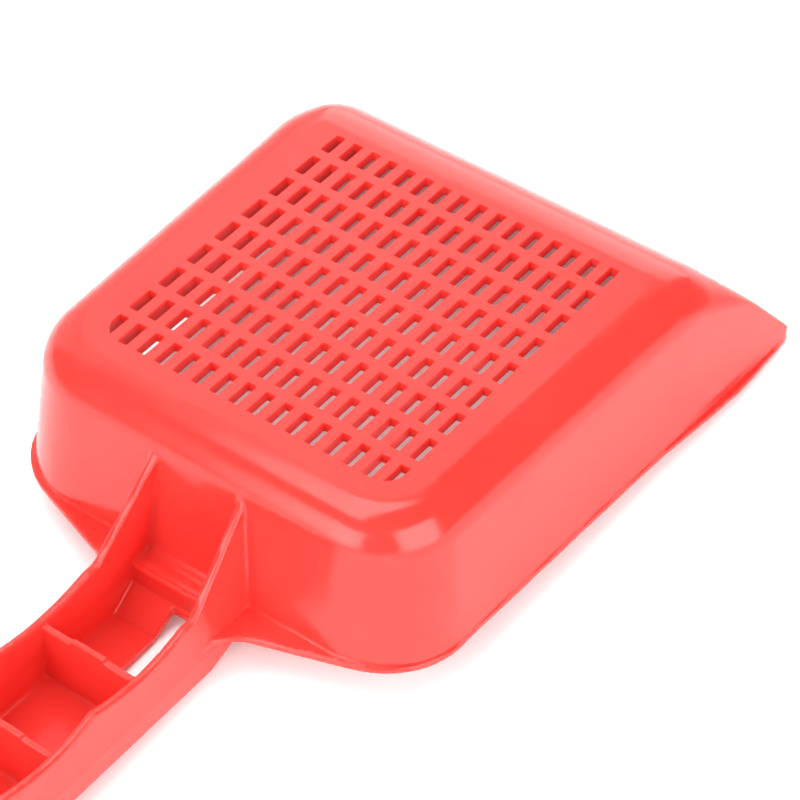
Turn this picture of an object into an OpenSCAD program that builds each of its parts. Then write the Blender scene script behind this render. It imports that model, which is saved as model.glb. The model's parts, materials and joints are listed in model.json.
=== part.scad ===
// Perforated litter scoop, lying upside down: the slotted floor is on top and the hollow
// side of the handle faces up. +Y points to the scooping lip, -Y along the handle, +X is the
// side wall on the right of somebody who looks from the handle towards the lip.
// All shapes are drawn in a working frame whose z = 0 is the outer face of the slotted floor
// and whose y = 0 is the middle of the slot grid. resting() then lays the scoop on its lip
// and on the belly of its handle.

/* [Slots] */
// Slots across the pan
slot_columns = 16; // [8:1:16]
// Rows of slots from the handle to the lip
slot_rows = 9; // [4:1:9]
// Width of a slot
slot_w = 2.5; // [1.5:0.1:3.5]
// Length of a slot
slot_l = 7.5; // [4:0.5:8]
// Web between two slots, both ways
web = 3; // [2:0.1:3]

/* [Pan] */
// Wall and floor thickness
wall = 2.9; // [2:0.1:3.4]
// Depth of the pan, from the outer face of its floor to the rim
depth = 41; // [34:1:48]
// Half the width at the rim, at the rear corners
half_w_rear = 62; // [58:0.5:66]
// Half the width at the rim, at the lip
half_w_lip = 66.5; // [62:0.5:72]
// Outer face of the rear wall at the rim, behind the grid's middle
rear_y = 65.4; // [62:0.2:72]
// Lip, in front of the grid's middle
lip_y = 93.1; // [86:0.1:100]
// Slope of the front ramp against the floor
ramp_angle = 49.4; // [42:0.1:60]
// Draft of the rear and side walls
draft = 6; // [2:0.5:8]
// Radius between the floor and the rear and side walls
floor_fillet = 9; // [6:0.5:11]
// Radius between the floor and the ramp
ramp_fillet = 12; // [8:0.5:14]
// Radius of the rear corners at the rim
rear_corner = 25; // [20:0.5:28]
// Radius of the two corners of the lip
lip_corner = 4; // [3:0.5:6]

/* [Rim] */
// Thickness of the rim flange and of the shoulders
flange_t = 1.8; // [1.2:0.1:2.4]
// How far the rim flange stands out from the side walls
flange_w = 1; // [0.6:0.1:2]
// Slope of the shoulders' rear edges against the rear wall
shoulder_angle = 18.5; // [14:0.5:22]

/* [Handle] */
// Length of the handle behind the rear wall
handle_l = 134; // [134:1:142]
// Half the width of the handle at the rim's level, outside
handle_half_w = 16.2; // [15:0.1:18]
// Draft of the handle's side walls
handle_draft = 4.5; // [2:0.5:6]
// Thickness of the handle's walls
handle_wall = 2.2; // [1.8:0.1:2.6]
// Depth of the handle's belly below the floor's outer face
belly_z = 52; // [48:0.5:56]
// Radius of the belly's lower edges
belly_edge = 3.5; // [3:0.5:8]
// Height of the finger crests below the floor's outer face
crest_z = 30.1; // [29:0.1:33]
// Depth of a finger hollow
finger_depth = 2.3; // [2:0.1:4]
// Length of a finger hollow
finger_pitch = 31; // [29:0.5:32]
// Top of a gusset below the floor's outer face
gusset_z = 12.5; // [11:0.5:16]
// Length of a gusset along the handle
gusset_l = 17; // [14:1:20]
// Radius of the hole that the scoop hangs by
hang_hole_r = 4; // [3:0.5:5]

/* [Cross ribs] */
// Thickness of a cross rib
rib_t = 1.8; // [1.4:0.1:2.4]
// Distance of the first cross rib behind the rear wall
first_rib = 36; // [34:1:38]
// Distance between two cross ribs
rib_pitch = 28.5; // [26:0.5:29]
// Height of a cross rib's raised middle
rib_step = 0.8; // [0.4:0.1:1.2]
// Half the width of a cross rib's raised middle
rib_step_half_w = 4.8; // [3:0.1:6]

/* [Handle window] */
// Distance of the window's near edge from the middle of the handle
window_x = -1.2; // [-2:0.1:2]
// Width of the window
window_w = 10; // [4:0.5:11]
// Distance of the window's front end behind the rear wall
window_y = 6.5; // [6.5:0.5:12]
// Length of the window
window_l = 24; // [12:1:26]

/* [Hidden] */
plastic = [1, 0.33, 0.29];
far = 300;            // longer than the whole scoop
eps = 0.01;

pitch_x = slot_w + web;
pitch_y = slot_l + web;
grid_half_x = (slot_columns * pitch_x - web) / 2;
grid_half_y = (slot_rows * pitch_y - web) / 2;
panel_margin = 2.5;   // plain floor round the grid that belongs to the sieve panel
panel_half_x = grid_half_x + panel_margin;
panel_half_y = grid_half_y + panel_margin;

// Centres of the balls that round the floor's edge, at the rear and sides and at the ramp
side_inset = (depth - floor_fillet) * tan(draft) + floor_fillet / cos(draft);
ramp_inset = (depth - ramp_fillet) / tan(ramp_angle) + ramp_fillet / sin(ramp_angle);
front_side_inset = (depth - ramp_fillet) * tan(draft) + ramp_fillet / cos(draft);
rear_ball_path = rear_corner - side_inset;  // radius of the balls' path round a rear corner
front_ball_path = 6;                        // the same at the ramp's corners
taper = (half_w_lip - half_w_rear) / (lip_y + rear_y - rear_corner - lip_corner);
function half_w_at(y) = half_w_rear + taper * (y + rear_y - rear_corner);
side_turn = -atan(taper);                   // direction in which a side wall faces
rear_centre = [half_w_rear - rear_corner, -rear_y + rear_corner];
shoulder_out = [sin(shoulder_angle), -cos(shoulder_angle)];
shoulder_blend = 6;   // radius of the concave corner between a shoulder and the handle
lip_centre = [half_w_lip - lip_corner, lip_y - lip_corner];

handle_end_y = -rear_y - handle_l;
gusset_foot_y = -rear_y - gusset_l;
finger_count = floor((gusset_foot_y - handle_end_y - handle_half_w) / finger_pitch);
finger_r = (pow(finger_pitch / 2, 2) + pow(finger_depth, 2)) / (2 * finger_depth);
hang_hole_y = handle_half_w / 2 - 1;        // middle of the hang hole behind grip_end_y
grip_end_y = handle_end_y + handle_half_w;  // where the handle's end starts to turn round
inner_half_w = handle_half_w - handle_wall;
belly_in = belly_z - handle_wall;
belly_front = 13.2;   // distance behind the rear wall at which the belly is at its full depth
belly_drop = 3.6;     // distance behind the rear wall of the belly's short upright front
belly_drop_z = 47.2;  // depth at which that front turns into the slope
grip_front = 0.8;     // distance behind the rear wall at which the grip walls start
ledge_l = belly_drop + handle_wall;  // length of the step behind the rear wall
floor_half_w = handle_half_w - belly_edge;  // half the width of the handle's flat floor
rib_top = crest_z + finger_depth - 0.9;

// The scoop lies on the lip and on the front of the belly's flat
contact_y = rear_y + belly_front;
rest_tilt = atan((belly_z - depth) / (lip_y + contact_y));
rest_z = lip_y * sin(rest_tilt) + depth * cos(rest_tilt);
lowest_end_z = belly_z - belly_edge;
front_reach = lip_y * cos(rest_tilt) - (depth - flange_t) * sin(rest_tilt);
rear_reach = handle_end_y * cos(rest_tilt) - lowest_end_z * sin(rest_tilt);
middle_y = (front_reach + rear_reach) / 2;

// Lays the scoop on z = 0, with the middle of its box at x = y = 0
module resting() {
    translate([0, -middle_y, rest_z]) rotate([-rest_tilt, 0, 0]) children();
}

module moulded() {
    color(plastic) resting() children();
}

// A disc with a rounded rim, tangent to the plane z = 0
module ball_path(path_r, ball_r, ball_z) {
    translate([0, 0, -ball_z])
        rotate_extrude($fn = 48)
            union() {
                translate([path_r, 0]) intersection() {
                    circle(r = ball_r, $fn = 32);
                    translate([0, -ball_r]) square([ball_r, 2 * ball_r]);
                }
                translate([0, -ball_r]) square([path_r + eps, 2 * ball_r]);
            }
}

// Points of an arc from one angle to another
function arc(centre, r, from, to, steps) = [
    for (i = [0 : steps]) let (a = from + (to - from) * i / steps)
        centre + r * [cos(a), sin(a)]
];

// The right half of the rim's outline, from the rear wall round to the lip
function rim_half(grow) = concat(
    arc(rear_centre, rear_corner + grow, -90, side_turn, 24),
    arc(lip_centre, lip_corner + grow, side_turn, 90, 10));

function mirrored(points) = [for (i = [len(points) - 1 : -1 : 0]) [-points[i][0], points[i][1]]];

// The rim's outline, grown outwards by the given amount
module rim_outline(grow = 0) {
    polygon(concat(rim_half(grow), mirrored(rim_half(grow))));
}

// The pan as a convex block, shrunk inwards on all sides by the given amount
module pan_block(shrink = 0, below = 0) {
    front_y = lip_y - ramp_inset - front_ball_path;
    rear_y_c = -rear_y + side_inset + rear_ball_path;
    hull() {
        translate([0, 0, -depth - below])
            linear_extrude(height = eps + below) rim_outline(-shrink);
        for (side = [-1, 1]) {
            translate([side * (half_w_at(rear_y_c) - side_inset - rear_ball_path), rear_y_c, 0])
                ball_path(rear_ball_path, floor_fillet - shrink, floor_fillet);
            translate([side * (half_w_at(front_y) - front_side_inset - front_ball_path), front_y, 0])
                ball_path(front_ball_path, ramp_fillet - shrink, ramp_fillet);
        }
    }
}

module pan_shell() {
    difference() {
        pan_block();
        pan_block(wall, eps);
        panel_block(eps);
    }
}

module panel_block(extra = 0) {
    translate([-panel_half_x, -panel_half_y, -wall - extra])
        cube([2 * panel_half_x, 2 * panel_half_y, wall + 2 * extra]);
}

// Plan areas that share the pan out between its walls
module rear_sector() {
    reach = far / 2;
    polygon([[-reach - panel_half_x, -reach - panel_half_y], [-panel_half_x, -panel_half_y],
             [panel_half_x, -panel_half_y], [reach + panel_half_x, -reach - panel_half_y]]);
}

module front_sector() {
    run = [half_w_lip - panel_half_x, lip_y - panel_half_y];
    polygon([[-panel_half_x, panel_half_y], [panel_half_x, panel_half_y],
             [panel_half_x + 2 * run[0], panel_half_y + 2 * run[1]],
             [-panel_half_x - 2 * run[0], panel_half_y + 2 * run[1]]]);
}

module column(height = far) {
    translate([0, 0, -height / 2]) linear_extrude(height = height) children();
}

module side_wall(side) {
    difference() {
        pan_shell();
        column() rear_sector();
        column() front_sector();
        translate([side > 0 ? -far : 0, -far / 2, -far / 2]) cube([far, far, far]);
    }
}

// The slotted floor: a flat plate with a grid of slots
module sieve_panel() {
    moulded() difference() {
        panel_block();
        for (i = [0 : slot_columns - 1], j = [0 : slot_rows - 1]) {
            x = -grid_half_x + i * pitch_x;
            y = -grid_half_y + j * pitch_y;
            translate([x, y, -2 * wall]) cube([slot_w, slot_l, 3 * wall]);
        }
    }
}

module rear_wall() {
    moulded() intersection() {
        pan_shell();
        column() rear_sector();
    }
}

module left_side_wall() {
    moulded() side_wall(-1);
}

module right_side_wall() {
    moulded() side_wall(1);
}

// The slanted front, from the floor down to the lip
module front_ramp() {
    moulded() intersection() {
        pan_shell();
        column() front_sector();
    }
}

// Plan area of the flange that runs beside the wall, on the right: from the shoulder's end
// round the corner and along the side to the lip
module beside_wall() {
    polygon([rear_centre, rear_centre + far * shoulder_out, [far, -far], [far, lip_centre[1]],
             lip_centre]);
}

// The thin flange along the rim of one side wall and round its rear corner
module rim_flange(side) {
    mirror([side > 0 ? 0 : 1, 0, 0])
        translate([0, 0, -depth]) linear_extrude(height = flange_t) intersection() {
            difference() {
                rim_outline(flange_w);
                rim_outline();
            }
            beside_wall();
        }
}

module left_rim_flange() {
    moulded() rim_flange(-1);
}

module right_rim_flange() {
    moulded() rim_flange(1);
}

// The triangular web at the rim's level between a rear corner and the handle. Its rear edge
// is a straight line that leaves the corner's flange without a kink and turns into the
// handle's side through a concave arc.
module shoulder(side) {
    start = rear_centre + (rear_corner + flange_w) * shoulder_out;
    arc_x = handle_half_w + shoulder_blend;
    arc_y = start[1] - (start[0] - arc_x) * tan(shoulder_angle) - shoulder_blend / cos(shoulder_angle);
    mirror([side > 0 ? 0 : 1, 0, 0])
        translate([0, 0, -depth]) linear_extrude(height = flange_t) difference() {
            polygon(concat([start, rear_centre, [handle_half_w, rear_centre[1]]],
                arc([arc_x, arc_y], shoulder_blend, 180, 90 + shoulder_angle, 8)));
            rim_outline();
        }
}

module left_shoulder() {
    moulded() shoulder(-1);
}

module right_shoulder() {
    moulded() shoulder(1);
}

// The step at the rim's level between the rear wall and the handle's deeper channel
module throat_ledge() {
    moulded() translate([-inner_half_w + eps, -rear_y - ledge_l, -depth])
        cube([2 * inner_half_w - 2 * eps, ledge_l, flange_t]);
}

// The belly of the handle as a block, shrunk inwards by the given amount
module belly_block(shrink = 0) {
    front = -rear_y - belly_drop - shrink;
    w = handle_half_w - shrink;
    hull() {
        for (side = [-1, 1], y = [-contact_y, handle_end_y])
            translate([side * floor_half_w, y, -belly_z + belly_edge])
                sphere(r = belly_edge - shrink, $fn = 32);
        translate([-w, handle_end_y, -depth]) cube([2 * w, front - handle_end_y, eps]);
        translate([-w + 1, front - 1, -belly_drop_z + shrink / 2]) cube([2 * w - 2, 1, 1]);
    }
}

// The belly as an open trough, from the rear wall to where the handle's end turns round
module belly_trough() {
    difference() {
        belly_block();
        intersection() {
            translate([0, 0, eps]) belly_block(handle_wall);
            translate([-far / 2, -rear_y - ledge_l - far, -far]) cube([far, far, 2 * far]);
        }
        translate([-far / 2, grip_end_y - far, -far / 2]) cube([far, far, far]);
    }
}

// The trough's flat bottom and its rounded front, with the window
module handle_floor() {
    moulded() difference() {
        belly_trough();
        for (side = [-1, 1])
            translate([side * (far / 2 + floor_half_w) - far / 2, -far, -far])
                cube([far, 2 * far, 2 * far]);
        translate([window_x, -rear_y - window_y - window_l, -belly_z - 1])
            cube([window_w, window_l, belly_z - depth]);
    }
}

// Everything in front of the rear wall's outer face
module before_rear_wall() {
    translate([0, -rear_y, -depth]) rotate([-draft, 0, 0])
        translate([-far / 2, 0, -far / 2]) cube([far, far, far]);
}

// A plate that leans as the handle's side does, cut to a side view: y to the right, z up
module leaning_plate(side) {
    mirror([side > 0 ? 0 : 1, 0, 0])
        translate([handle_half_w, 0, -depth]) rotate([0, -handle_draft, 0])
            translate([-handle_wall, 0, depth])
                rotate([90, 0, 90]) linear_extrude(height = handle_wall) children();
}

// Side view of a grip wall above the belly, with its finger hollows
module grip_profile() {
    difference() {
        translate([grip_end_y, -depth])
            square([-rear_y - grip_front - grip_end_y, depth - crest_z]);
        for (i = [0 : finger_count - 1])
            translate([gusset_foot_y - (i + 0.5) * finger_pitch, -crest_z - finger_depth + finger_r])
                circle(r = finger_r, $fn = 180);
    }
}

// One side of the handle, from the belly's rounded edge up to the finger crests
module grip_wall(side) {
    leaning_plate(side) grip_profile();
    intersection() {
        belly_trough();
        translate([side * (far / 2 + floor_half_w) - far / 2, -far, -far])
            cube([far, 2 * far, 2 * far]);
    }
}

module left_grip_wall() {
    moulded() grip_wall(-1);
}

module right_grip_wall() {
    moulded() grip_wall(1);
}

// The triangular web that carries a grip wall up the rear wall
module gusset(side) {
    difference() {
        leaning_plate(side)
            polygon([[gusset_foot_y, -crest_z], [-rear_y + 8, -crest_z], [-rear_y + 8, -gusset_z],
                     [-rear_y + (depth - gusset_z) * tan(draft), -gusset_z]]);
        before_rear_wall();
    }
}

module left_gusset() {
    moulded() gusset(-1);
}

module right_gusset() {
    moulded() gusset(1);
}

// A cross rib between the grip walls, with a raised middle
module cross_rib(i) {
    y = -rear_y - first_rib - i * rib_pitch;
    rise = depth - rib_top;
    lean = rise * tan(handle_draft);
    w = inner_half_w - 0.2;
    moulded() translate([0, y + rib_t / 2, 0]) rotate([90, 0, 0])
        linear_extrude(height = rib_t)
            polygon([[-floor_half_w, -belly_in], [floor_half_w, -belly_in], [w, -belly_in + belly_edge],
                     [w, -depth], [w - lean, -rib_top],
                     [rib_step_half_w, -rib_top], [rib_step_half_w, -rib_top + rib_step],
                     [-rib_step_half_w, -rib_top + rib_step], [-rib_step_half_w, -rib_top],
                     [lean - w, -rib_top], [-w, -depth], [-w, -belly_in + belly_edge]]);
}

module cross_rib_1() {
    cross_rib(0);
}

module cross_rib_2() {
    cross_rib(1);
}

module cross_rib_3() {
    cross_rib(2);
}

// Half the section of the handle's end, shrunk inwards by the given amount
module end_section(shrink = 0, above = 0) {
    w = handle_half_w - shrink;
    r = belly_edge - shrink;
    top = depth - crest_z + above;
    translate([0, -depth]) polygon(concat(
        [[0, depth - belly_z + shrink]],
        arc([floor_half_w, depth - belly_z + belly_edge], r, -90, 0, 12),
        [[w, 0], [w - top * tan(handle_draft), top], [0, top]]));
}

// The rounded end of the handle, a cup with the hole that the scoop hangs by
module hang_end() {
    moulded() translate([0, grip_end_y, 0]) difference() {
        rotate_extrude($fn = 96) end_section();
        rotate_extrude($fn = 96) end_section(handle_wall, 1);
        translate([-far / 2, 0, -far / 2]) cube([far, far, far]);
        translate([0, -hang_hole_y, -far / 2]) cylinder(r = hang_hole_r, h = far, $fn = 64);
    }
}

sieve_panel();
rear_wall();
left_side_wall();
right_side_wall();
front_ramp();
left_rim_flange();
right_rim_flange();
left_shoulder();
right_shoulder();
throat_ledge();
handle_floor();
left_grip_wall();
right_grip_wall();
left_gusset();
right_gusset();
cross_rib_1();
cross_rib_2();
cross_rib_3();
hang_end();
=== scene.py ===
"""Perforated litter scoop, lying upside down on a pale floor.

The scoop is one plastic moulding. It is drawn as a smooth solid in millimetres, in the working
frame of the CAD model (z = 0 on the outer face of the slotted floor, y = 0 in the middle of the
slot grid), turned into meshes, and laid in the shared frame by the floor_face mount.
"""

import json
import math

import bpy
import numpy as np
from mathutils import Matrix, Vector


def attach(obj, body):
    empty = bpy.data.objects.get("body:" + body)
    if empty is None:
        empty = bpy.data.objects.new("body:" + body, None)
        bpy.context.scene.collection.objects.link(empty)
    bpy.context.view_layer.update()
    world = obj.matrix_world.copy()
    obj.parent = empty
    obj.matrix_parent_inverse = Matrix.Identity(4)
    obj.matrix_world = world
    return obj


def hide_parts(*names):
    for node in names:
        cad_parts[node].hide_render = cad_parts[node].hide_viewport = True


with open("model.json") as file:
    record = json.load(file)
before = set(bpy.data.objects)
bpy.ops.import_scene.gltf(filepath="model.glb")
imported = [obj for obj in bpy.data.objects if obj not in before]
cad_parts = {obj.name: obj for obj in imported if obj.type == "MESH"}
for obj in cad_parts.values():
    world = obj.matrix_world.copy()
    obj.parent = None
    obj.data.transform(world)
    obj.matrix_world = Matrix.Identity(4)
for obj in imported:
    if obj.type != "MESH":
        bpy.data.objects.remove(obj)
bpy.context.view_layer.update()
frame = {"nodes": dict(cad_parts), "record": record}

# ---------------------------------------------------------------- the solid, in millimetres
# pan
DEPTH, WALL = 41.0, 2.9
DRAFT, RAMP = math.radians(6), math.radians(49.4)
REAR_Y, LIP_Y = 65.4, 93.1
RIM_HALF_W, TAPER = 63.38, math.radians(2)   # at y = 0, and how far each side turns outwards
FLOOR_EDGE, RAMP_EDGE = 9.5, 23.5            # radii of the floor's edges
REAR_CORNER, LIP_CORNER = 22.0, 9.0          # radii of the corners in plan, at the rim
CORNER_GROWTH = 3        # what the rear corners' radius gains from the rim to the floor

# rim and shoulders
FLANGE_T = 1.8
SHOULDER_Y, SHOULDER_TURN, SHOULDER_HALF_W = -80.8, math.radians(18.5), 45.25
SHOULDER_BLEND = 7.5

# handle
HALF_W, HANDLE_WALL = 16.2, 2.2
HANDLE_DRAFT, LOWER_DRAFT = math.radians(4.5), math.radians(3.5)
TURN_Y = -183.2          # where the handle's end turns round
LEDGE_Y, LEDGE_Z = -71.2, -39.2   # edge and height of the step behind the rear wall
BELLY_Z, BELLY_Y, BELLY_SLOPE = 52.0, -78.0, math.radians(33)
BELLY_EDGE, BELLY_BEND = 2.9, 2.0
CREST_Z, FINGER_DEPTH, FINGER_PITCH, FINGER_Y = 30.1, 2.3, 30.8, -86.1
GUSSET_Y, GUSSET_SLOPE = -82.6, math.radians(45)
RIBS_Y, RIB_Z, RIB_HALF_T = (-101.8, -129.4, -158.2), -33.6, 0.8
WINDOW_X, WINDOW_Y, WINDOW_W, WINDOW_L = 3.8, -83.9, 10, 24.0
HOLE_Y, HOLE_R = -191.3, 4

CELL = 0.7               # size of the cells that the solid is meshed in


def both(a, b, r):
    """Where two solids overlap. A right-angled edge between them is rounded to radius r."""
    return np.minimum(-r, np.maximum(a, b)) + np.hypot(np.maximum(r + a, 0), np.maximum(r + b, 0))


def both_blunt(a, b, r, turn):
    """The same for a blunt edge, where the surface turns by less than 90 degrees."""
    u, v, c = r + a, r + b, math.cos(turn)
    arc = np.sqrt(np.maximum(u * u + v * v - 2 * c * u * v, 0)) / math.sin(turn) - r
    return np.where((u > c * v) & (v > c * u), arc, np.maximum(a, b))


def either(a, b, r):
    """Two solids together, with the corner between them filled to radius r."""
    return np.maximum(r, np.minimum(a, b)) - np.hypot(np.maximum(r - a, 0), np.maximum(r - b, 0))


def smooth(low, high, v):
    """0 at low, 1 at high, with a soft start and end."""
    t = np.clip((v - low) / (high - low), 0, 1)
    return t * t * (3 - 2 * t)


def flare(y):
    """How far the side walls swing outwards near the lip."""
    return 0.35 * smooth(20, 60, y)


def side_plan(x, y):
    """Distance to the rim's long sides in plan."""
    return np.abs(x) * math.cos(TAPER) - y * math.sin(TAPER) - RIM_HALF_W - flare(y)


def rim_plan(x, y):
    """Distance to the rim's outline in plan."""
    return both(both(side_plan(x, y), -REAR_Y - y, REAR_CORNER), y - LIP_Y, LIP_CORNER)


def pan_outside(x, y, z):
    """The pan as a block, without its hollow."""
    rise = np.clip((z + DEPTH) / DEPTH, 0, 1)
    walls = both(side_plan(x, y), -REAR_Y - y, REAR_CORNER + CORNER_GROWTH * rise)
    walls = (walls + (z + DEPTH) * math.tan(DRAFT)) * math.cos(DRAFT)
    ramp = (y - LIP_Y) * math.sin(RAMP) + (z + DEPTH) * math.cos(RAMP)
    on_ramp = smooth(-6, 6, ramp - walls)
    corner = 0.6 + 13 * smooth(-24, -4, z) ** 1.5 + 4.5 * smooth(-36, -DEPTH, z)
    walls = both(walls, ramp, corner)
    side_edge = both(walls, z, FLOOR_EDGE)
    return side_edge + (both_blunt(walls, z, RAMP_EDGE, RAMP) - side_edge) * on_ramp


def handle_sides(x, y, z):
    """Distance to the handle's outer side faces and round end."""
    px = np.where(y > TURN_Y, np.abs(x), np.hypot(x, y - TURN_Y))
    upper = (px - HALF_W + (z + DEPTH) * math.tan(HANDLE_DRAFT)) * math.cos(HANDLE_DRAFT)
    lower = px - HALF_W - 0.157 - (z + 43) * math.tan(LOWER_DRAFT)
    return np.maximum(upper, lower)


def handle_belly(y, z):
    """Distance to the handle's underside: a short drop below the rim, a slope, then flat."""
    front = (y - BELLY_Y) * math.sin(BELLY_SLOPE) - (z + BELLY_Z) * math.cos(BELLY_SLOPE)
    below = both(both(y - LEDGE_Y - HANDLE_WALL, front, 1.5), -BELLY_Z - z, BELLY_BEND)
    return either(-DEPTH - z, below, 0.5)


def handle_top(y, z):
    """The finger crests, and the gussets' sloping edges up to the rear wall."""
    wave = np.clip((y - FINGER_Y) / FINGER_PITCH, -3, 0)
    crest = -CREST_Z - FINGER_DEPTH * (1 - np.square(2 * (wave - np.floor(wave)) - 1))
    gusset = (z + CREST_Z) * math.cos(GUSSET_SLOPE) - (y - GUSSET_Y) * math.sin(GUSSET_SLOPE)
    return either((z - crest) * 0.95, gusset, 0.5)


def handle(x, y, z):
    """The hollow handle with its ribs, window and hang hole."""
    sides, belly = handle_sides(x, y, z), handle_belly(y, z)
    outside = both(sides, belly, 1 + (BELLY_EDGE - 1) * smooth(-70, -80, y))
    cavity = both(sides + HANDLE_WALL, belly + HANDLE_WALL, 1.0)
    cavity = np.maximum(cavity, either(y - LEDGE_Y, LEDGE_Z - z, 0.4))
    solid = both(np.maximum(outside, -cavity), handle_top(y, z), 0.7)
    for at in RIBS_Y:
        rib_top = RIB_Z + 0.8 * smooth(5.1, 4.6, np.abs(x))
        rib = both(np.abs(y - at) - RIB_HALF_T + (z - RIB_Z) * 0.012, z - rib_top, 0.35)
        solid = either(solid, np.maximum(rib, outside + 1.2), 0.6)
    window = both(np.abs(x - WINDOW_X) - WINDOW_W / 2, np.abs(y - WINDOW_Y) - WINDOW_L / 2, 0.8)
    solid = both(solid, -np.maximum(window, z + 43.0), 0.3)
    hang_hole = np.maximum(np.hypot(x, y - HOLE_Y) - HOLE_R, z + 44)
    return both(solid, -hang_hole, 0.5)


def rim(x, y, z):
    """The flange along the rim, with the shoulders that run from it to the handle."""
    outline = rim_plan(x, y)
    edge = (SHOULDER_Y + np.abs(x) * math.tan(SHOULDER_TURN) - y) * math.cos(SHOULDER_TURN)
    shoulder = np.maximum(np.maximum(edge, np.abs(x) - SHOULDER_HALF_W), y + 50)
    grip = np.maximum(np.maximum(np.abs(x) - 15.6, y + 60), -88 - y)
    width = 0.25 + 0.75 * smooth(-38, -58, y) + 1.3 * smooth(28, 66, y) - 1.6 * smooth(64, 93, y)
    plan = either(np.minimum(outline - width, shoulder), grip, SHOULDER_BLEND)
    plan = np.maximum(plan, -outline - 1)
    plan = both(plan, -np.maximum(np.abs(x) - 14.9, y - LEDGE_Y), 0.5)
    return both(plan, np.abs(z + DEPTH - FLANGE_T / 2) - FLANGE_T / 2, 0.45)


def scoop(p):
    """The whole moulding but its slots: below 0 inside it, above 0 outside."""
    x, y, z = p[..., 0], p[..., 1], p[..., 2]
    outside = pan_outside(x, y, z)
    bowl = both(np.abs(outside + WALL / 2) - WALL / 2, -DEPTH - z, 0.5)
    grip = np.maximum(np.maximum(handle(x, y, z), -outside - 1), y + 61)
    throat = smooth(13.5, 12, np.abs(x)) * smooth(-34, -38, z)
    body = either(bowl, grip, 0.8 + 2.0 * throat)
    return either(body, rim(x, y, z), 0.35)


# ---------------------------------------------------------------- from solid to mesh
def slopes(solid, p, step=0.02):
    """Direction in which the solid's distance grows, at each point."""
    return np.stack([solid(p + d) - solid(p - d) for d in np.eye(3) * step], -1) / (2 * step)


def sampled(solid, low, high, step, block=8):
    """The solid's distance on a grid. Blocks far from the surface get only its sign."""
    blocks = np.ceil((np.array(high) - low) / (step * block)).astype(int)
    at = np.stack(np.meshgrid(*[np.arange(n) for n in blocks], indexing="ij"), -1).reshape(-1, 3)
    middle = solid(low + (at + 0.5) * block * step)
    grid = np.where(middle < 0, -9.0, 9.0).astype(np.float32).reshape(blocks)
    for axis in range(3):
        grid = grid.repeat(block, axis)
    inner = np.stack(np.meshgrid(*[np.arange(block)] * 3, indexing="ij"), -1)
    for b in at[np.abs(middle) < block * step * 1.1]:
        x, y, z = b * block
        grid[x:x + block, y:y + block, z:z + block] = solid(low + (b * block + inner) * step)
    return grid


def surface(solid, low, high, step):
    """Mesh of the solid's surface: one point a cell, set where the surface's planes meet."""
    low = np.array(low, float)
    grid = sampled(solid, low, high, step)
    inside = grid < 0
    count = np.array(grid.shape) - 1
    corners = np.stack(np.meshgrid([0, 1], [0, 1], [0, 1], indexing="ij"), -1).reshape(-1, 3)
    full = sum(inside[x:x + count[0], y:y + count[1], z:z + count[2]].astype(np.int8)
               for x, y, z in corners)
    cell = np.argwhere((full > 0) & (full < 8))
    number = -np.ones(count, np.int64)
    number[tuple(cell.T)] = np.arange(len(cell))

    total = np.zeros((len(cell), 3))
    hits = np.zeros(len(cell))
    ata = np.zeros((len(cell), 3, 3))
    atb = np.zeros((len(cell), 3))
    faces = []
    for axis in range(3):
        one = np.eye(3, dtype=int)[axis]
        near = tuple(slice(0, n - o) for n, o in zip(grid.shape, one))
        far = tuple(slice(o, n) for n, o in zip(grid.shape, one))
        edge = np.argwhere(inside[near] != inside[far])
        d0 = grid[tuple(edge.T)].astype(float)
        d1 = grid[tuple((edge + one).T)].astype(float)
        p = low + (edge + np.outer(d0 / (d0 - d1), one)) * step
        n = slopes(solid, p)
        n /= np.linalg.norm(n, axis=1)[:, None] + 1e-9
        side = [np.eye(3, dtype=int)[(axis + k) % 3] for k in (1, 2)]
        round_edge = []
        for u, v in ((0, 0), (1, 0), (1, 1), (0, 1)):
            c = edge - u * side[0] - v * side[1]
            ok = ((c >= 0) & (c < count)).all(1)
            i = np.where(ok, number[tuple(np.clip(c, 0, count - 1).T)], -1)
            round_edge.append(i)
            ok = i >= 0
            np.add.at(total, i[ok], p[ok])
            np.add.at(hits, i[ok], 1)
            np.add.at(ata, i[ok], n[ok, :, None] * n[ok, None, :])
            np.add.at(atb, i[ok], n[ok] * (n[ok] * p[ok]).sum(1)[:, None])
        quad = np.stack(round_edge, 1)
        quad = np.where((d0 < 0)[:, None], quad, quad[:, ::-1])
        faces.append(quad[(quad >= 0).all(1)])
    middle = total / hits[:, None]
    soft = 0.03 * hits[:, None, None] * np.eye(3)
    point = np.linalg.solve(ata + soft, (atb + 0.03 * hits[:, None] * middle)[..., None])[..., 0]
    centre = low + (cell + 0.5) * step
    point = np.clip(point, centre - 0.6 * step, centre + 0.6 * step)
    for _ in range(2):
        g = slopes(solid, point)
        move = -solid(point)[:, None] * g / (np.square(g).sum(1)[:, None] + 1e-6)
        point += np.clip(move, -0.3 * step, 0.3 * step)
    return point, np.concatenate(faces)


# ---------------------------------------------------------------- the scene
face = next(m for m in frame["record"]["mounts"] if m["name"] == "floor_face")
TILT = math.atan2(face["axis"][1], face["axis"][2])
LAY = Matrix.Rotation(-TILT, 4, "X")
LAY.translation = Vector(face["pos_m"])
TO_FRAME = LAY @ Matrix.Scale(0.001, 4)


def new_object(name, points, faces):
    mesh = bpy.data.meshes.new(name)
    mesh.from_pydata(points, [], faces)
    obj = bpy.data.objects.new(name, mesh)
    bpy.context.scene.collection.objects.link(obj)
    return obj


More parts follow.
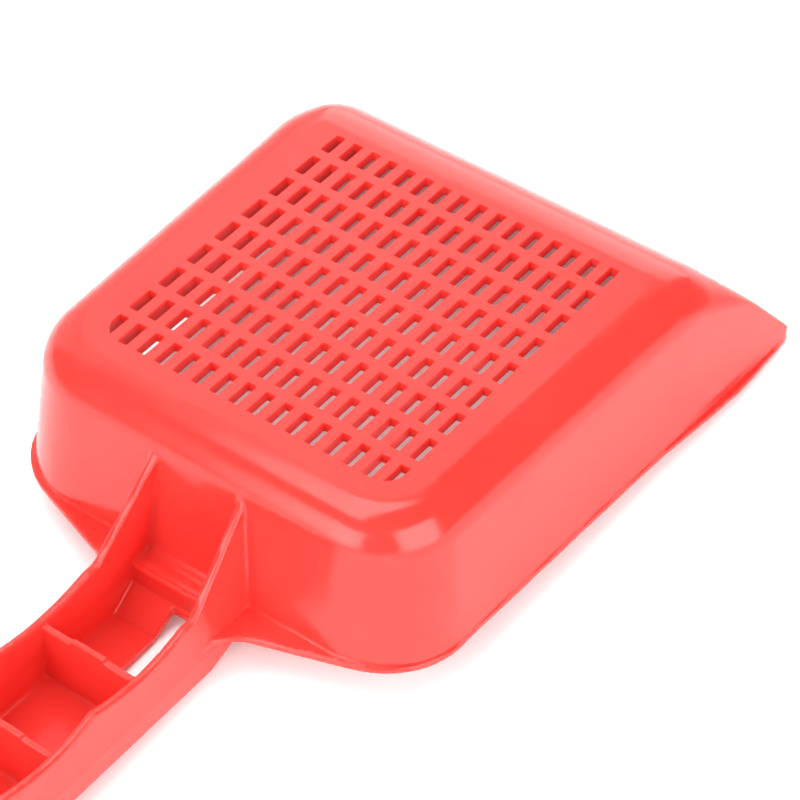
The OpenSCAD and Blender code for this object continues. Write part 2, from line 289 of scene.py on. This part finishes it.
# ---------------------------------------------------------------- slots
COLUMNS, ROWS, SLOT_W, SLOT_L, WEB = 16, 9, 2.5, 7.5, 3.0
GRID_X, GRID_Y = 42.5, 45.75
LIP_R = 0.28             # rounding of the slots' edges
CORNER_R = 5.5           # radius that cuts the two rear corner slots


def slot_outline(x0, x1, y0, y1, grow):
    """Corner points of a slot seen from above, grown outwards, anticlockwise."""
    r = 0.3
    pts = []
    for cx, cy, start in ((x1 - r, y0 + r, -90), (x1 - r, y1 - r, 0),
                          (x0 + r, y1 - r, 90), (x0 + r, y0 + r, 180)):
        for k in range(4):
            a = math.radians(start + 30 * k)
            pts.append((cx + (r + grow) * math.cos(a), cy + (r + grow) * math.sin(a)))
    return pts


def corner_outline(side, grow):
    """The same for a rear corner slot, whose outer end follows the grid's round corner."""
    x0, x1 = GRID_X - SLOT_W - grow, GRID_X + grow
    y1 = -GRID_Y + SLOT_L + grow
    cx, cy, r = GRID_X - CORNER_R, -GRID_Y + CORNER_R, CORNER_R + grow
    start = -math.acos((x0 - cx) / r)
    stop = -math.acos(min(1.0, (x1 - cx) / r))
    pts = [(cx + r * math.cos(a), cy + r * math.sin(a)) for a in np.linspace(start, stop, 14)]
    pts += [(x1, y1), (x0, y1)]
    return pts if side > 0 else [(-x, y) for x, y in reversed(pts)]


def cutter_levels():
    """Depth and outward growth of a cutter's rings: flared with a round edge at both faces."""
    rings = []
    for k in range(4):
        a = math.radians(30 * k)
        rings.append((-LIP_R * (1 - math.cos(a)), LIP_R * (1 - math.sin(a))))
    rings = [(0.8, LIP_R), (0.01, LIP_R)] + rings[1:]
    return rings + [(-WALL - z, g) for z, g in reversed(rings)]


def slot_cutters():
    points, faces = [], []
    for i in range(COLUMNS):
        for j in range(ROWS):
            x0 = -GRID_X + i * (SLOT_W + WEB)
            y0 = -GRID_Y + j * (SLOT_L + WEB)
            y1 = y0 + SLOT_L - (0.5 if j == ROWS - 1 else 0)
            base, n = len(points), 0
            for z, grow in cutter_levels():
                if j == 0 and i in (0, COLUMNS - 1):
                    ring = corner_outline(1 if i else -1, grow)
                else:
                    ring = slot_outline(x0, x0 + SLOT_W, y0, y1, grow)
                n = len(ring)
                points += [(x, y, z) for x, y in ring]
            rings = len(cutter_levels())
            for k in range(rings - 1):
                a, b = base + k * n, base + (k + 1) * n
                faces += [(a + m, b + m, b + (m + 1) % n, a + (m + 1) % n) for m in range(n)]
            faces.append(tuple(base + m for m in range(n)))
            faces.append(tuple(base + (rings - 1) * n + m for m in reversed(range(n))))
    return new_object("slot_cutters", points, faces)


def cut(obj, cutter):
    """Cuts the cutter out of the object, for good."""
    boolean = obj.modifiers.new("cut", "BOOLEAN")
    boolean.operation, boolean.solver, boolean.object = "DIFFERENCE", "MANIFOLD", cutter
    graph = bpy.context.evaluated_depsgraph_get()
    mesh = bpy.data.meshes.new_from_object(obj.evaluated_get(graph))
    obj.modifiers.clear()
    obj.data = mesh
    bpy.data.objects.remove(cutter)


def soften(obj, solid):
    """Shades curved faces with the solid's own direction, and leaves cut faces crisp."""
    mesh = obj.data
    co = np.empty(len(mesh.vertices) * 3, np.float32)
    mesh.vertices.foreach_get("co", co)
    co = co.reshape(-1, 3).astype(float)
    n = slopes(solid, co)
    n /= np.linalg.norm(n, axis=1)[:, None] + 1e-9
    on = np.abs(solid(co)) < 0.05
    vertex = np.empty(len(mesh.loops), np.int32)
    mesh.loops.foreach_get("vertex_index", vertex)
    flat = np.empty(len(mesh.polygons) * 3, np.float32)
    mesh.polygons.foreach_get("normal", flat)
    total = np.empty(len(mesh.polygons), np.int32)
    mesh.polygons.foreach_get("loop_total", total)
    flat = flat.reshape(-1, 3).repeat(total, 0)
    normal = n[vertex]
    agree = on[vertex] & ((normal * flat).sum(1) > 0.80)
    normal = np.where(agree[:, None], normal, flat)
    mesh.polygons.foreach_set("use_smooth", np.ones(len(mesh.polygons), bool))
    mesh.normals_split_custom_set(normal.tolist())


def build_scoop():
    points, faces = surface(scoop, (-68.6, -200.9, -53.1), (68.9, 94.1, 1.3), CELL)
    obj = new_object("scoop_moulding", points.tolist(), faces.tolist())
    cut(obj, slot_cutters())
    soften(obj, scoop)
    obj.data.transform(TO_FRAME)
    return obj


# ---------------------------------------------------------------- material
def plastic():
    mat = bpy.data.materials.new("coral_polypropylene")
    mat.use_nodes = True
    nodes, links = mat.node_tree.nodes, mat.node_tree.links
    shader = nodes["Principled BSDF"]
    shader.inputs["IOR"].default_value = 1.43
    shader.inputs["Subsurface Weight"].default_value = 1.0
    shader.inputs["Subsurface Radius"].default_value = (1.0, 0.16, 0.1)
    shader.inputs["Subsurface Scale"].default_value = 0.0045

    place = nodes.new("ShaderNodeTexCoord")

    def noise(scale, detail):
        tex = nodes.new("ShaderNodeTexNoise")
        tex.inputs["Scale"].default_value = scale
        tex.inputs["Detail"].default_value = detail
        links.new(place.outputs["Object"], tex.inputs["Vector"])
        return tex

    def remap(value, low, high, to_low, to_high):
        step = nodes.new("ShaderNodeMapRange")
        for name, v in (("From Min", low), ("From Max", high), ("To Min", to_low),
                        ("To Max", to_high)):
            step.inputs[name].default_value = v
        links.new(value, step.inputs["Value"])
        return step.outputs["Result"]

    # pigment flow: faint, broad differences of colour
    flow = noise(22, 3)
    tint = nodes.new("ShaderNodeMix")
    tint.data_type = "RGBA"
    tint.inputs[6].default_value = (0.71, 0.041, 0.032, 1)
    tint.inputs[7].default_value = (0.75, 0.048, 0.038, 1)
    links.new(remap(flow.outputs["Fac"], 0.35, 0.65, 0, 1), tint.inputs[0])
    links.new(tint.outputs[2], shader.inputs["Base Color"])

    # gloss: a polished mould with faint orange peel and rubbed patches
    rub = noise(60, 5)
    links.new(remap(rub.outputs["Fac"], 0.35, 0.7, 0.14, 0.21), shader.inputs["Roughness"])
    peel = noise(900, 2)
    wave = noise(90, 1)
    height = nodes.new("ShaderNodeMath")
    height.operation = "MULTIPLY_ADD"
    height.inputs[1].default_value = 0.12
    links.new(peel.outputs["Fac"], height.inputs[0])
    links.new(wave.outputs["Fac"], height.inputs[2])
    bump = nodes.new("ShaderNodeBump")
    bump.inputs["Strength"].default_value = 0.05
    bump.inputs["Distance"].default_value = 0.001
    links.new(height.outputs[0], bump.inputs["Height"])
    links.new(bump.outputs["Normal"], shader.inputs["Normal"])
    return mat


scoop_obj = build_scoop()
scoop_obj.data.materials.clear()
scoop_obj.data.materials.append(plastic())
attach(scoop_obj, "root")
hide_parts(*frame["nodes"])


# ---------------------------------------------------------------- floor, light and camera
floor = new_object("floor", [(-4, -4, 0), (4, -4, 0), (4, 4, 0), (-4, 4, 0)], [(0, 1, 2, 3)])
pale = bpy.data.materials.new("pale_floor")
pale.use_nodes = True
paint = pale.node_tree.nodes["Principled BSDF"]
paint.inputs["Base Color"].default_value = (0.9, 0.9, 0.9, 1)
paint.inputs["Roughness"].default_value = 0.9
paint.inputs["Emission Color"].default_value = (1, 0.96, 0.96, 1)
paint.inputs["Emission Strength"].default_value = 0.12
floor.data.materials.append(pale)

world = bpy.data.worlds.new("studio")
world.use_nodes = True
world.node_tree.nodes["Background"].inputs["Color"].default_value = (1, 1, 1, 1)
world.node_tree.nodes["Background"].inputs["Strength"].default_value = 0.08
bpy.context.scene.world = world

AIM = Vector((0, 0, -20))    # point that the lights look at, in the working frame


def away(azimuth, elevation, distance):
    """Point at that distance from the working origin, at an azimuth from +Y towards +X."""
    a, e = math.radians(azimuth), math.radians(elevation)
    return Vector((math.sin(a) * math.cos(e), math.cos(a) * math.cos(e), math.sin(e))) * distance


def panel(name, centre, toward, width, height, radiance, up=(0, 0, 1)):
    """A rectangular light of even radiance, placed in millimetres in the working frame."""
    data = bpy.data.lights.new(name, "AREA")
    data.shape, data.size, data.size_y = "RECTANGLE", width / 1000, height / 1000
    data.energy = radiance * math.pi * data.size * data.size_y
    back = (centre - toward).normalized()
    side = Vector(up).cross(back).normalized()
    matrix = Matrix((side, back.cross(side), back)).transposed().to_4x4()
    matrix.translation = centre / 1000
    obj = bpy.data.objects.new(name, data)
    bpy.context.scene.collection.objects.link(obj)
    obj.matrix_world = LAY @ matrix
    return obj


# three pale panels far behind the scoop, which its gloss reflects
panel("backdrop", away(-66, 30, 2500), AIM, 2660, 3000, 0.95)
panel("back", away(-30, 40, 2500), AIM, 1800, 700, 0.6)
panel("low_back", away(-18, 16, 2500), AIM, 1820, 1700, 2.5)

# the streaks and patches. The places and sizes of these three are rounded results of a program
# that matched the reflections in the photo; their radiance was set one by one.
OVERHEAD, LEAN = Vector((-117, -66, 560)), math.radians(6.3)
panel("overhead", OVERHEAD, Vector((OVERHEAD.x, OVERHEAD.y, 0)), 322, 546, 5.0,
      (math.sin(LEAN), math.cos(LEAN), 0))
panel("right", away(106, 20, 800), AIM, 607, 700, 5.6)
panel("left", away(185.4, 16.6, 800), AIM, 550, 558, 5.8)

# soft light from above that doesn't show in the gloss
panel("fill", away(0, 90, 2000), AIM, 3000, 3000, 0.9, (0, 1, 0)).visible_glossy = False

# The camera, as a program solved it from the photo's slot grid and the pan's outline.
TURN, RISE, ROLL = math.radians(36.50), math.radians(43.86), math.radians(0.51)
EYE = Vector((0.336354, -0.439600, 0.499206))   # in metres, in the working frame
LENS, SENSOR = 141.87, 36


def camera():
    """The camera: it looks along -back, with ROLL turning right and up about that line."""
    right = Vector((math.cos(TURN), math.sin(TURN), 0))
    back = Vector((math.sin(TURN) * math.cos(RISE), -math.cos(TURN) * math.cos(RISE),
                   math.sin(RISE)))
    up = back.cross(right)
    right, up = (math.cos(ROLL) * right + math.sin(ROLL) * up,
                 math.cos(ROLL) * up - math.sin(ROLL) * right)
    matrix = Matrix((right, up, back)).transposed().to_4x4()
    matrix.translation = EYE
    data = bpy.data.cameras.new("camera")
    data.lens, data.sensor_width = LENS, SENSOR
    obj = bpy.data.objects.new("camera", data)
    bpy.context.scene.collection.objects.link(obj)
    obj.matrix_world = LAY @ matrix
    bpy.context.scene.camera = obj


camera()
bpy.context.scene.view_settings.view_transform = "Standard"
